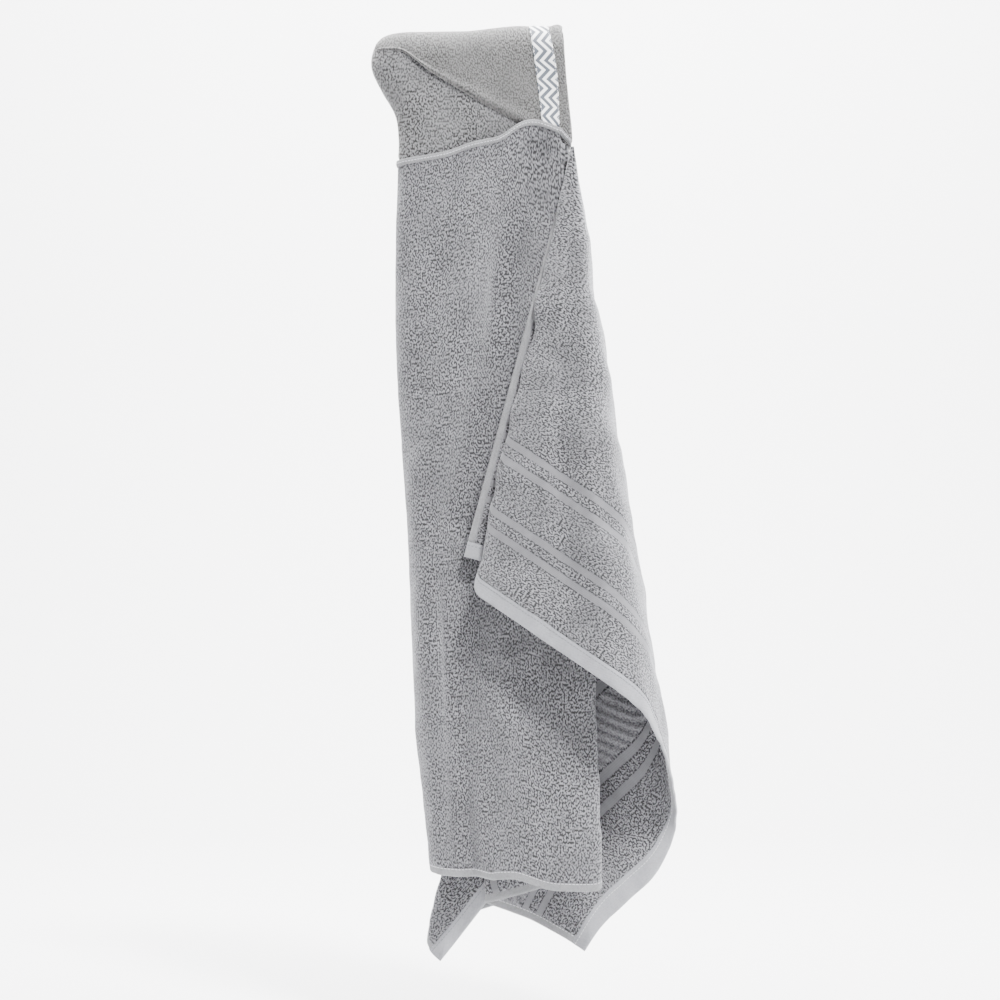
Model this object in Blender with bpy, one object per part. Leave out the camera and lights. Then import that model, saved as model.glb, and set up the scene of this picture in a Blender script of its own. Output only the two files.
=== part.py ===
"""Hooded baby towel, hanging in profile from the top fold of its hood.

A 28 x 50 in terry bath towel is folded at its centre back and sewn to a hood along one long edge.
Each half hangs as a back panel and, beyond the neck corner, as a cone of cloth: pleats, then a front
lapel turned outward. The cone keeps every ray from the neck corner straight, so the cloth there is
bent but not stretched.

Units are metres, +Z is up, +X is toward the face, -Y is the near side. The origin is the hanging
point in the top fold of the hood. Tables of shape are in millimetres and degrees, and are scaled
where they are used.
"""

import math

import bmesh
import bpy
import numpy as np

MM = 0.001

# The towel, flat: half of it, from the centre back to the short edge, and from the neck to the bottom
HALF_LENGTH = 635.0
WIDTH = 711.0
NECK_ARC = 205.0  # of the long edge that is sewn to the hood, on each half
FREE = HALF_LENGTH - NECK_ARC
TERRY = 2.6  # thickness of one layer
GAP = 0.4  # between pieces that touch
CENTRE_GAP = 1.0  # from the centre back to where each half's solids start

END_HEM = 16.0
EDGE_HEM = 8.0
HEM_THICK = 3.0
THREAD = 0.9
THREAD_GAP = 0.7

NECK_CORNER = (53.0, -22.0, -126.0)
APEX = 62.0  # the cone's solids start this far below the neck corner
HEM_GAP = 1.1  # between a hem and the cloth beside it, wider because both are faceted round the folds
EDGE_STRIP = 80.5  # the cone from here to 90 degrees makes room for the lapel's own hem
SEAM_FADE = 60.0  # the drop over which the cloth leaves the slope of the seam's end
SPREAD_FADE = 300.0  # the drop over which the pleats' sideways offsets fade
CORNER_DEG = math.degrees(math.atan2(FREE, WIDTH))  # the ray to the towel's bottom corner

# Cross-section of the cone, from the lapel's free edge round to the back panel.
# Columns: degrees across, degrees in depth, depth offset, sideways offset, stretch along the ray
NEAR_CONE = (
    (-15.0, -2.9, -3, 0, 0.985), (-12.2, -2.7, -3, 0, 0.985), (-8.5, -2.6, -3, 0, 0.99),
    (-5.5, -2.6, -3.2, 0, 0.99), (-4.8, -2.9, -4.5, 0, 0.99), (-5.5, -3.3, -5.8, 0, 0.99),
    (-9.0, -3.5, -6, 0, 0.99), (-11.6, -3.7, -6.2, 0, 0.99), (-12.5, -4.1, -7.5, 0, 0.99),
    (-12.0, -4.9, -8.8, 0, 1.0), (-10.2, -6.0, -9.5, 0, 1.0), (-7.5, -6.9, -10, 0, 1.0),
    (-5.0, -7.1, -10, 0, 1.0), (-2.5, -6.8, -10, 0, 1.0), (0.0, -7.2, -10, 0, 1.0),
    (2.8, -7.7, -10, 0, 1.0), (5.2, -7.2, -10, 0, 1.0), (7.0, -6.0, -9, 0, 1.0),
    (8.1, -4.3, -6, 0, 1.0), (8.7, -2.5, -2, 0, 1.0), (9.0, -0.9, 4, 0, 1.006),
    (8.8, 0.2, 9, 0, 1.022), (7.9, 0.55, 11.5, 0, 1.032), (6.3, 0.55, 12, 0, 1.03),
    (4.0, 0.5, 12, -1, 1.003), (1.5, 0.45, 12, -2, 0.976), (-2.5, 0.4, 12, -2, 0.974),
    (-5.9, 0.3, 11.8, -3, 0.985), (-6.7, 0.0, 10.5, -4, 0.988), (-5.9, -0.3, 9.2, -5, 0.992),
    (-2.5, -0.4, 9, -6, 0.993), (0.1, -0.5, 8.8, -6, 0.987), (0.9, -0.75, 7.5, -7, 0.985),
    (0.1, -1.0, 6.2, -8, 0.99), (-2.8, -1.1, 5.8, -9, 1.01), (-3.6, -1.35, 4.5, -9, 1.015),
    (-2.8, -1.6, 3.2, -10, 1.02), (0.0, -1.65, 3, -11, 1.03), (1.4, -1.75, 2.7, -12, 1.035),
    (2.2, -2.05, 1.4, -13, 1.04), (1.5, -2.4, 0.2, -13, 1.045), (-0.9, -2.5, 0, -13, 1.045),
)
# The far half hangs further back at the bottom, so that its corner shows below the near half
FAR_CONE = (
    (-11.0, -2.9, -3, 0, 0.985), (-7.0, -2.7, -3, 0, 0.985), (-3.2, -2.6, -3.2, 0, 0.99),
    (-1.8, -2.9, -4.5, 0, 0.99), (-3.2, -3.3, -5.8, 0, 0.99), (-6.5, -3.5, -6.2, 0, 0.99),
    (-8.4, -3.65, -6.5, 0, 0.99), (-9.3, -4.1, -7.5, 0, 0.99), (-8.8, -4.8, -8.6, 0, 1.0),
    (-7.4, -5.3, -8.9, 0, 1.0), (-5.5, -5.7, -9, 0, 1.0),
    (-3.0, -6.2, -9, 0, 1.0), (1.0, -6.3, -9, 0, 1.0), (4.2, -5.9, -9, 0, 1.0),
    (6.3, -4.9, -8.5, 0, 1.0), (7.5, -3.4, -5, 0, 1.0), (7.9, -1.6, 1, 0, 1.0),
    (7.5, -0.2, 8, 0, 0.995), (6.0, 0.45, 12, 0, 0.985), (2.0, 0.5, 12, -1, 0.98),
    (-3.0, 0.4, 12, -2, 0.98), (-8.0, 0.35, 12, -2, 0.98), (-9.6, 0.3, 11.8, -3, 0.98),
    (-10.3, 0.0, 10.5, -4, 0.98), (-9.6, -0.3, 9.2, -5, 0.98), (-5.0, -0.4, 9, -6, 0.98),
    (0.6, -0.5, 8.8, -6, 0.98), (1.5, -0.75, 7.5, -7, 0.985), (0.6, -1.0, 6.2, -8, 0.99),
    (-4.0, -1.05, 5.8, -8, 1.0), (-4.9, -1.35, 4.5, -9, 1.0), (-4.0, -1.6, 3.2, -10, 1.0),
    (0.0, -1.65, 3, -11, 1.0), (1.1, -1.75, 2.7, -12, 1.0), (1.9, -2.05, 1.4, -13, 1.0),
    (1.2, -2.4, 0.2, -13, 1.0), (-1.2, -2.5, 0, -13, 1.0),
)
# Table rows of the front fold, the inner fold and the roll
FOLDS = {"near": (39, 28, 20), "far": (34, 23, 16)}
REFERENCE_RAY = 480.0  # where the cone's arc length is matched to the flat cloth

# Neck seam, from the back to its front end: across and up
NECK_LINE = (
    (-122, -136), (-110, -135), (-80, -131), (-65, -124), (-45, -118), (-10, -110), (15, -106),
    (28, -106), (40, -113),
)
# Back panel, seen from above at each drop below the neck: across and depth, from the centre back
BACK_SECTIONS = (
    (0, (
        (-122, 0), (-121, -8), (-112, -16), (-90, -19), (-64, -20),
        (-38, -21), (-12, -22), (14, -22), (40, -22),
    )),
    (180, (
        (-124, 0), (-123, -13), (-113, -25), (-88, -31), (-62, -35),
        (-36, -30), (-10, -21), (16, -24), (43, -29),
    )),
    (380, (
        (-112, 0), (-111, -16), (-101, -31), (-80, -37), (-58, -29),
        (-34, -27), (-10, -36), (14, -40), (40, -38),
    )),
    (560, (
        (-104, 0), (-103, -18), (-94, -33), (-76, -37), (-56, -29),
        (-32, -37), (-10, -49), (12, -49), (40, -46),
    )),
    (711, (
        (-85, 0), (-87, -18), (-80, -36), (-63, -36), (-46, -26),
        (-28, -38), (-10, -53), (12, -54), (38, -51),
    )),
)
BACK_DROPS = (1.0, 60.0, 180.0, 320.0, 440.0, 560.0, 640.0, WIDTH - EDGE_HEM - HEM_GAP)
# Stretch along the drop, by share of the neck arc
BACK_STRETCH = ((0.0, 1.0), (0.3, 1.02), (0.6, 1.045), (1.0, 1.045))

# Hood, in profile: the fold from the neck's back end round the pouch to the face, and the open edges
HOOD_FOLD = (
    (-122, -134), (-121.5, -113), (-125, -88), (-139, -63), (-149, -40), (-146, -20), (-136, -10.5),
    (-118, -7.5), (-100, -7), (-70, -6.5), (-50, -6), (-20, -2.5), (0, -1), (20, -2), (30, -1.5),
    (38, 0.5), (43, -2),
)
HOOD_OPEN = (
    (-122, -133), (-110, -132), (-80, -127), (-65, -120), (-45, -114), (-10, -106), (15, -102),
    (28, -102), (40, -109), (53, -118), (54.5, -105), (52, -80), (49.5, -55), (47.5, -30), (46, -12),
    (44.5, -5), (43, -2),
)
HOOD_DEPTH = 17.0
HOOD_ROUND = 26.0  # the distance over which the folded edges round off
HOOD_LAYER = 2.6
PANEL_LAYER = 2.4
HOOD_GAP = 1.2  # between the hood's layers
PANEL_DIAGONAL = (
    (-133, -24), (-118, -28), (-105, -34), (-90, -44), (-75, -53), (-40, -74), (0, -96), (22, -106),
)
RIBBON_BACK = ((9, -3), (13, -23), (17, -53), (20.5, -83), (22.5, -100))
RIBBON_FRONT = ((29, -3), (32, -23), (36, -53), (38, -83), (39, -102))
RIBBON_THICK = 0.8
NECK_BAND = 6.5
NECK_BAND_THICK = 1.6


def clear_scene():
    for obj in list(bpy.data.objects):
        bpy.data.objects.remove(obj, do_unlink=True)
    for mesh in list(bpy.data.meshes):
        bpy.data.meshes.remove(mesh)
    for material in list(bpy.data.materials):
        bpy.data.materials.remove(material)


def spline(points, share):
    """Catmull-Rom through the rows of points, at shares 0 to 1 of their count."""
    rows = np.asarray(points, float)
    padded = np.vstack([2 * rows[0] - rows[1], rows, 2 * rows[-1] - rows[-2]])
    position = np.clip(np.asarray(share, float), 0, 1) * (len(rows) - 1)
    i = np.minimum(position.astype(int), len(rows) - 2)
    u = (position - i)[..., None]
    a, b, c, d = padded[i], padded[i + 1], padded[i + 2], padded[i + 3]
    even, odd = 2 * a - 5 * b + 4 * c - d, 3 * b - a - 3 * c + d
    return 0.5 * (2 * b + (c - a) * u + even * u**2 + odd * u**3)


def by_length(points, share, measure=None):
    """The spline again, at even shares of its length. measure gives the columns whose length counts."""
    fine = np.linspace(0, 1, 60 * len(points))
    dense = spline(points, fine)
    counted = dense if measure is None else measure(dense)
    walked = np.concatenate([[0], np.cumsum(np.linalg.norm(np.diff(counted, axis=0), axis=1))])
    return spline(points, np.interp(np.asarray(share, float), walked / walked[-1], fine))


def cone_row(table, degrees):
    """The cone table's columns at an angle of the flat cloth, 90 at the free edge and 0 below the neck."""

    def arc(rows):
        return np.column_stack([rows[:, 0], rows[:, 1] + np.degrees(rows[:, 2] / REFERENCE_RAY)])

    return by_length(table, 1 - np.asarray(degrees, float) / 90, arc)


def cone_point(table, degrees, ray):
    """A point of the cone, from its angle in the flat cloth and its distance from the neck corner."""
    row = cone_row(table, degrees)
    across, depth = np.sin(np.radians(row[..., 0])), np.sin(np.radians(row[..., 1]))
    ray = ray * row[..., 4]
    aside = row[..., 3] * np.clip(1 - ray / SPREAD_FADE, 0, 1) ** 1.5
    sag = row[..., 3] * np.clip(1 - ray / SEAM_FADE, 0, 1) + ray * np.sqrt(1 - across**2 - depth**2)
    place = [
        NECK_CORNER[0] + aside + ray * across,
        NECK_CORNER[1] + row[..., 2] + ray * depth,
        NECK_CORNER[2] - sag,
    ]
    return np.stack(place, axis=-1)


def smooth(value):
    value = np.clip(value, 0, 1)
    return value * value * (3 - 2 * value)


def back_point(table, along, drop):
    """A point of the back panel: along the neck edge from the centre back, and down from it."""
    share = along / NECK_ARC
    drops = [level for level, _ in BACK_SECTIONS]
    sections = np.array([by_length(points, share) for _, points in BACK_SECTIONS])
    position = np.interp(drop, drops, np.linspace(0, 1, len(drops)))
    plan = np.array([spline(sections[:, k], position[k]) for k in range(len(share))])
    height = by_length(NECK_LINE, share)[:, 1] - drop * np.interp(share, *zip(*BACK_STRETCH))
    own = np.column_stack([plan, height])
    pull = smooth((share - 0.62) / 0.38)[:, None]
    return own * (1 - pull) + cone_point(table, np.zeros_like(share), drop) * pull


def cloth_point(table, along, drop):
    """A point of one half, from its place in the flat cloth: from the centre back, and down."""
    along, drop = np.broadcast_arrays(np.asarray(along, float), np.asarray(drop, float))
    shape, along, drop = along.shape, along.ravel(), drop.ravel()
    out = along - NECK_ARC
    ahead = np.maximum(out, 0)
    point = cone_point(table, np.degrees(np.arctan2(ahead, drop)), np.hypot(ahead, drop))
    inner = out < 0
    if inner.any():
        point[inner] = back_point(table, along[inner], drop[inner])
    return point.reshape(shape + (3,))


def cloth_normal(table, along, drop, step=0.4):
    across = cloth_point(table, along + step, drop) - cloth_point(table, along - step, drop)
    down = cloth_point(table, along, drop + step) - cloth_point(table, along, drop - step)
    normal = np.cross(down, across)
    normal /= np.maximum(np.linalg.norm(normal, axis=-1, keepdims=True), 1e-9)
    return normal


def make(name, verts, faces, material):
    """One named object from millimetre vertices, its faces turned outward."""
    mesh = bpy.data.meshes.new(name)
    corners = [tuple(float(c) * MM for c in v) for v in verts]
    mesh.from_pydata(corners, [], [tuple(map(int, f)) for f in faces])
    bm = bmesh.new()
    bm.from_mesh(mesh)
    bmesh.ops.recalc_face_normals(bm, faces=bm.faces)
    bmesh.ops.triangulate(bm, faces=bm.faces)
    if bm.calc_volume(signed=True) < 0:
        bmesh.ops.reverse_faces(bm, faces=bm.faces)
    bm.to_mesh(mesh)
    bm.free()
    mesh.materials.append(material)
    obj = bpy.data.objects.new(name, mesh)
    bpy.context.scene.collection.objects.link(obj)
    return obj


def grid_normals(grid):
    du = np.gradient(grid, axis=0)
    dv = np.gradient(grid, axis=1)
    normal = np.cross(du, dv)
    return normal / np.maximum(np.linalg.norm(normal, axis=-1, keepdims=True), 1e-9)


def slab_mesh(grid, normal, low, high):
    """A closed sheet between two offsets from a grid of points."""
    rows, cols = grid.shape[:2]
    verts = np.vstack([(grid + normal * low).reshape(-1, 3), (grid + normal * high).reshape(-1, 3)])
    top = rows * cols
    faces = []
    for i in range(rows - 1):
        for j in range(cols - 1):
            a, b, c, d = i * cols + j, i * cols + j + 1, (i + 1) * cols + j + 1, (i + 1) * cols + j
            faces += [(a, b, c, d), (top + d, top + c, top + b, top + a)]
    rim = [(0, j) for j in range(cols)] + [(i, cols - 1) for i in range(1, rows)]
    rim += [(rows - 1, j) for j in range(cols - 2, -1, -1)] + [(i, 0) for i in range(rows - 2, 0, -1)]
    ring = [i * cols + j for i, j in rim]
    for a, b in zip(ring, ring[1:] + ring[:1]):
        faces.append((b, a, top + a, top + b))
    return verts, faces


def tube_mesh(path, radius, sides=4):
    """A closed thread along a path."""
    path = np.asarray(path, float)
    tangent = np.gradient(path, axis=0)
    tangent /= np.linalg.norm(tangent, axis=1, keepdims=True)
    up = np.cross(tangent, [0.31, 0.9, 0.11])
    up /= np.linalg.norm(up, axis=1, keepdims=True)
    side = np.cross(tangent, up)
    verts, faces = [], []
    for k in range(len(path)):
        for s in range(sides):
            angle = 2 * math.pi * s / sides
            verts.append(path[k] + radius * (math.cos(angle) * up[k] + math.sin(angle) * side[k]))
    for k in range(len(path) - 1):
        for s in range(sides):
            n = (s + 1) % sides
            faces.append((k * sides + s, k * sides + n, (k + 1) * sides + n, (k + 1) * sides + s))
    faces += [tuple(range(sides)), tuple((len(path) - 1) * sides + s for s in range(sides - 1, -1, -1))]
    return verts, faces


def paint(name, color, roughness):
    material = bpy.data.materials.new(name)
    material.use_nodes = True
    shader = material.node_tree.nodes["Principled BSDF"]
    shader.inputs["Base Color"].default_value = (*color, 1)
    shader.inputs["Roughness"].default_value = roughness
    return material


def arc_degrees(table):
    """The flat cloth's angle at each row of the cone table."""
    fine = np.linspace(0, 1, 60 * len(table))
    rows = spline(table, fine)
    counted = np.column_stack([rows[:, 0], rows[:, 1] + np.degrees(rows[:, 2] / REFERENCE_RAY)])
    walked = np.concatenate([[0], np.cumsum(np.linalg.norm(np.diff(counted, axis=0), axis=1))])
    return 90 * (1 - np.interp(np.linspace(0, 1, len(table)), fine, walked / walked[-1]))


def span(table, first, last, shy=0.1):
    """Angles from one table row to another, drawn in a little at both ends."""
    angles = arc_degrees(table)[first : last + 1].copy()
    angles[0] -= shy if first else 0
    angles[-1] += shy
    return angles


def sheet_limit(degrees):
    """How far the cloth between the hems reaches along a ray from the neck corner."""
    rad = np.radians(np.clip(degrees, 0.01, 89.99))
    return np.minimum((WIDTH - EDGE_HEM - HEM_GAP) / np.cos(rad), (FREE - END_HEM - HEM_GAP) / np.sin(rad))


def cone_flat(angles, rows, trim_edge=False):
    """Flat places on the cone between the hems. trim_edge makes room for the lapel's own hem."""
    along, drop = [], []
    corner = math.degrees(math.atan((FREE - END_HEM - HEM_GAP) / (WIDTH - EDGE_HEM - HEM_GAP)))
    if angles[-1] < corner < angles[0]:
        angles = np.sort(np.append(angles[np.abs(angles - corner) > 0.3], corner))[::-1]
    for v in np.linspace(0, 1, rows):
        turned = np.asarray(angles, float)
        ray = APEX + (sheet_limit(turned) - APEX) * v
        if trim_edge:
            widest = 90 - np.degrees((EDGE_HEM + GAP) / ray)
            eased = EDGE_STRIP + (turned - EDGE_STRIP) * (widest - EDGE_STRIP) / (90 - EDGE_STRIP)
            turned = np.where(turned > EDGE_STRIP, eased, turned)
            ray = APEX + (sheet_limit(turned) - APEX) * v
        along.append(NECK_ARC + ray * np.sin(np.radians(turned)))
        drop.append(ray * np.cos(np.radians(turned)))
    return np.array(along), np.array(drop)


def back_flat(angles, drops, columns):
    """Flat places on the back panel, carried on round its front fold."""
    neck = np.linspace(CENTRE_GAP, NECK_ARC, columns)
    along = np.array([np.concatenate([neck, NECK_ARC + d * np.tan(np.radians(angles))]) for d in drops])
    return along, np.broadcast_to(np.array(drops, float)[:, None], along.shape)


def fold_distance(x, z):
    """Distance from points of the hood's profile to its folded edge."""
    line = spline(HOOD_FOLD, np.linspace(0, 1, 160))
    a, b = line[:-1], line[1:]
    p = np.stack([x, z], axis=-1)[..., None, :]
    t = np.clip(((p - a) * (b - a)).sum(-1) / ((b - a) ** 2).sum(-1), 0, 1)
    return np.linalg.norm(p - (a + t[..., None] * (b - a)), axis=-1).min(-1)


def hood_surface(x, z, side):
    """The hood's middle surface: a pouch, round at its folded edge."""
    share = np.clip(fold_distance(x, z) / HOOD_ROUND, 0, 1)
    return np.stack([x, -side * HOOD_DEPTH * np.sqrt(1 - (1 - share) ** 2), z], axis=-1)


def lens(fold, rim, first, last, columns, rows):
    """Both sides of the hood between a stretch of its fold and its open edge, as one grid."""
    u = np.linspace(first, last, columns)
    inner, outer = by_length(fold, u), by_length(rim, u)
    v = np.linspace(-1, 1, 2 * rows + 1)
    reach = v**2
    x = inner[:, None, 0] + (outer - inner)[:, None, 0] * reach
    z = inner[:, None, 1] + (outer - inner)[:, None, 1] * reach
    return hood_surface(x, z, np.sign(v)[None, :] * np.ones_like(x))


def ribbon_line(share, rows):
    """The ribbon's grid over the hood's top, share 0 at its back edge and 1 at its front edge."""
    v = np.linspace(-1, 1, 2 * rows + 1)
    along = np.abs(v) ** 1.4
    back, front = by_length(RIBBON_BACK, along), by_length(RIBBON_FRONT, along)
    share = np.atleast_1d(share)[:, None]
    x = back[None, :, 0] * (1 - share) + front[None, :, 0] * share
    z = back[None, :, 1] * (1 - share) + front[None, :, 1] * share
    top = np.interp(x, *zip(*sorted(HOOD_FOLD[8:])))
    z = np.where(along[None, :] < 1e-9, top, np.minimum(z, top - 0.2))
    return hood_surface(x, z, np.sign(v)[None, :] * np.ones_like(x))


def outward(grid):
    """1 or -1, whichever makes the grid's normals point away from the object's middle plane."""
    normal = grid_normals(grid)
    return 1.0 if (normal[..., 1] * grid[..., 1]).sum() > 0 else -1.0


def slab(name, grid, low, high, material, normal=None):
    if normal is None:
        normal = grid_normals(grid) * outward(grid)
    verts, faces = slab_mesh(grid, normal, low, high)
    return make(name, verts, faces, material)


def build_half(side, table, terry, hem, thread):
    flip = np.array([1, -1, 1]) if side == "far" else np.ones(3)
    half = TERRY / 2
    front_fold, inner_fold, roll = FOLDS[side]

    def surface(along, drop):
        grid, normal = cloth_point(table, along, drop) * flip, cloth_normal(table, along, drop) * flip
        if along.min() < NECK_ARC:
            normal[:, 0] *= np.array([1, 0, 1])
            normal[:, 0] /= np.linalg.norm(normal[:, 0], axis=-1, keepdims=True)
        return grid, normal

    def sheet(name, along, drop):
        grid, normal = surface(along, drop)
        slab(f"towel_{side}_{name}", grid, -half, half, terry, normal)

    def strip(name, along, drop, face, first=0):
        grid, normal = surface(along, drop)
        slab(f"{side}_{name}_hem", grid, -HEM_THICK / 2, HEM_THICK / 2, hem, normal)
        path = (grid + normal * face * (HEM_THICK / 2 + THREAD_GAP + THREAD / 2))[1, first:]
        make(f"{side}_{name}_hem_thread", *tube_mesh(path, THREAD / 2), thread)

    fold_angles = span(table, front_fold, len(table) - 1)[::-1][1:]
    sheet("back_panel", *back_flat(fold_angles, BACK_DROPS, 16))
    sheet("inner_pleat", *cone_flat(span(table, inner_fold, front_fold), 6))
    sheet("outer_pleat", *cone_flat(span(table, roll, inner_fold), 6))
    sheet("front_lapel", *cone_flat(span(table, 0, roll), 6, trim_edge=True))

    angles = arc_degrees(table)
    down = [0.5] + [FREE / math.tan(math.radians(a)) for a in angles if CORNER_DEG + 0.4 < a < 89.5] + [WIDTH]
    inset = np.array([[END_HEM], [END_HEM - 3], [0.0]])
    end = np.array(down) * (1 - inset / FREE)
    end[:, 0], end[:, -1] = 0.5, WIDTH
    strip("end", HALF_LENGTH - inset + 0 * end, end, -1)
    out = np.linspace(NECK_ARC + APEX, HALF_LENGTH - END_HEM - GAP, 12)
    inset = np.array([[EDGE_HEM], [EDGE_HEM - 2.5], [0.5]])
    strip("lapel", out + 0 * inset, inset + 0 * out, -1, 2)
    corner = math.degrees(math.atan((FREE - END_HEM - GAP) / WIDTH))
    low = np.array([a for a in angles[::-1][1:] if a < corner - 0.15] + [corner])
    drops = [WIDTH - EDGE_HEM, WIDTH - EDGE_HEM + 2.5, WIDTH]
    along, drop = back_flat(low, drops, 16)
    along[:, -1] = HALF_LENGTH - END_HEM - GAP
    strip("bottom", along, drop, 1)

    neck = np.linspace(0.03, 1, 16) * NECK_ARC
    line = cloth_point(table, neck, np.full(len(neck), 0.5))
    band = np.array([line + np.array([0, 0, h]) for h in (NECK_BAND / 2, 0, -NECK_BAND / 2)]) * flip
    low_face = half + 2.5 * GAP
    slab(f"{side}_neck_band", band, low_face, low_face + NECK_BAND_THICK, hem)
    lift = low_face + NECK_BAND_THICK + THREAD_GAP + THREAD / 2
    path = (band + grid_normals(band) * outward(band) * lift)[1]
    make(f"{side}_neck_thread", *tube_mesh(path, THREAD / 2), thread)


def build():
    terry = paint("terry_paint", (0.30, 0.30, 0.32), 0.95)
    hood_terry = paint("hood_terry_paint", (0.33, 0.33, 0.33), 0.95)
    hem = paint("hem_paint", (0.52, 0.52, 0.55), 0.85)
    thread = paint("thread_paint", (0.60, 0.60, 0.63), 0.7)
    ribbon = paint("ribbon_paint", (0.85, 0.85, 0.86), 0.5)

    for side, table in (("near", NEAR_CONE), ("far", FAR_CONE)):
        build_half(side, table, terry, hem, thread)

    body = lens(HOOD_FOLD, HOOD_OPEN, 0.04, 0.97, 20, 8)
    half = HOOD_LAYER / 2
    slab("hood_body", body, -half, half, hood_terry)
    panel = lens(HOOD_FOLD[6:], PANEL_DIAGONAL + HOOD_OPEN[7:], 0.03, 0.97, 20, 8)
    panel_low = half + HOOD_GAP
    slab("hood_front_panel", panel, panel_low, panel_low + PANEL_LAYER, hood_terry)
    ribbon_low = panel_low + PANEL_LAYER + 1.5 * HOOD_GAP
    slab("ribbon_trim", ribbon_line((0.0, 0.5, 1.0), 12), ribbon_low, ribbon_low + RIBBON_THICK, ribbon)
    lift = ribbon_low + RIBBON_THICK + THREAD_GAP + THREAD / 2
    for name, share in (("back", 0.08), ("front", 0.92)):
        grid = ribbon_line((share - 0.04, share, share + 0.04), 12)
        path = (grid + grid_normals(grid) * outward(grid) * lift)[1]
        make(f"ribbon_{name}_thread", *tube_mesh(path, THREAD / 2), thread)


clear_scene()
build()
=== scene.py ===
"""Looks for the hooded baby towel: one draped cloth, its hems and stitching, the hood and its ribbon."""

import math

import bpy
import mathutils
import numpy as np
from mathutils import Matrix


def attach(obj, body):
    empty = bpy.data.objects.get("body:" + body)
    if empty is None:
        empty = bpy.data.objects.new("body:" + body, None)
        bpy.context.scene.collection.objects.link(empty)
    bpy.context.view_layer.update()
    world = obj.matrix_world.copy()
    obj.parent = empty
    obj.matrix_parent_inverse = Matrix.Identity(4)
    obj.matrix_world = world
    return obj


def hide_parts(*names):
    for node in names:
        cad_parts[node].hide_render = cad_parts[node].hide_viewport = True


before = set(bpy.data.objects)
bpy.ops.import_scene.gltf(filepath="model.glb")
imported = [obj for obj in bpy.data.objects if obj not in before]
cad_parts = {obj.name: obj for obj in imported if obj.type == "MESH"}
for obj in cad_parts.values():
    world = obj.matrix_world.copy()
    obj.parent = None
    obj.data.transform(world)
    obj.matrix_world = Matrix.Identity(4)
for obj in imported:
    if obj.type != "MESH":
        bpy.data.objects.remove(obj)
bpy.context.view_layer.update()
MM = 0.001

# The towel, flat, and its hang, in millimetres and degrees, as in the CAD
HALF_LENGTH, WIDTH, NECK_ARC = 635.0, 711.0, 205.0
FREE = HALF_LENGTH - NECK_ARC
END_HEM, EDGE_HEM = 16.0, 8.0
TERRY = 3.1
HEM_THICK = 3.0
NECK_CORNER = (53.0, -22.0, -126.0)
SEAM_FADE, SPREAD_FADE = 60.0, 300.0  # rays over which the offsets at the neck corner fade
REFERENCE_RAY = 480.0
NECK_FADE = 80.0
NECK_SLOPE = (0.9, 0.0, -0.44)
CORNER_DEG = math.degrees(math.atan2(FREE, WIDTH))

# Cross-section of the cone, from the lapel's free edge round to the back panel.
# Columns: degrees across, degrees in depth, depth offset, sideways offset, stretch along the ray
NEAR_CONE = (
    (-15.0, -2.9, -3, 0, 0.985), (-12.2, -2.7, -3, 0, 0.985), (-8.5, -2.6, -3, 0, 0.99),
    (-5.5, -2.6, -3.2, 0, 0.99), (-4.8, -2.9, -4.5, 0, 0.99), (-5.5, -3.3, -5.8, 0, 0.99),
    (-9.0, -3.4, -6, 0, 0.99), (-11.6, -3.5, -6.2, 0, 0.99), (-12.5, -3.75, -7.3, 0, 0.99),
    (-12.0, -4.2, -8.6, 0, 1.0), (-10.2, -5.2, -9.5, 0, 1.0), (-7.5, -6.4, -10, 0, 1.0),
    (-5.0, -7.1, -10, 0, 1.0), (-2.5, -6.8, -10, 0, 1.0), (0.0, -7.2, -10, 0, 1.0),
    (2.8, -7.7, -10, 0, 1.0), (5.2, -7.2, -10, 0, 1.0), (7.0, -6.0, -9, 0, 1.0),
    (8.1, -4.3, -6, 0, 1.0), (8.7, -2.5, -2, 0, 1.0), (9.0, -0.9, 4, 0, 1.006),
    (8.8, 0.2, 9, 0, 1.022), (7.9, 0.55, 11.5, 0, 1.032), (6.3, 0.55, 12, 0, 1.03),
    (4.0, 0.5, 12, -1, 1.003), (1.5, 0.45, 12, -2, 0.976), (-2.5, 0.4, 12, -2, 0.974),
    (-5.9, 0.3, 11.8, -3, 0.985), (-6.7, 0.0, 10.5, -4, 0.988), (-5.9, -0.3, 9.2, -5, 0.992),
    (-2.5, -0.4, 9, -6, 0.993), (0.1, -0.5, 8.8, -6, 0.987), (0.9, -0.75, 7.5, -7, 0.985),
    (0.1, -1.0, 6.2, -8, 0.99), (-2.8, -1.1, 5.8, -9, 1.01), (-3.6, -1.35, 4.5, -9, 1.015),
    (-2.8, -1.6, 3.2, -10, 1.02), (0.0, -1.65, 3, -11, 1.03), (1.4, -1.75, 2.7, -12, 1.035),
    (2.2, -2.05, 1.4, -13, 1.04), (1.5, -2.4, 0.2, -13, 1.045), (-0.9, -2.5, 0, -13, 1.045),
)
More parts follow.
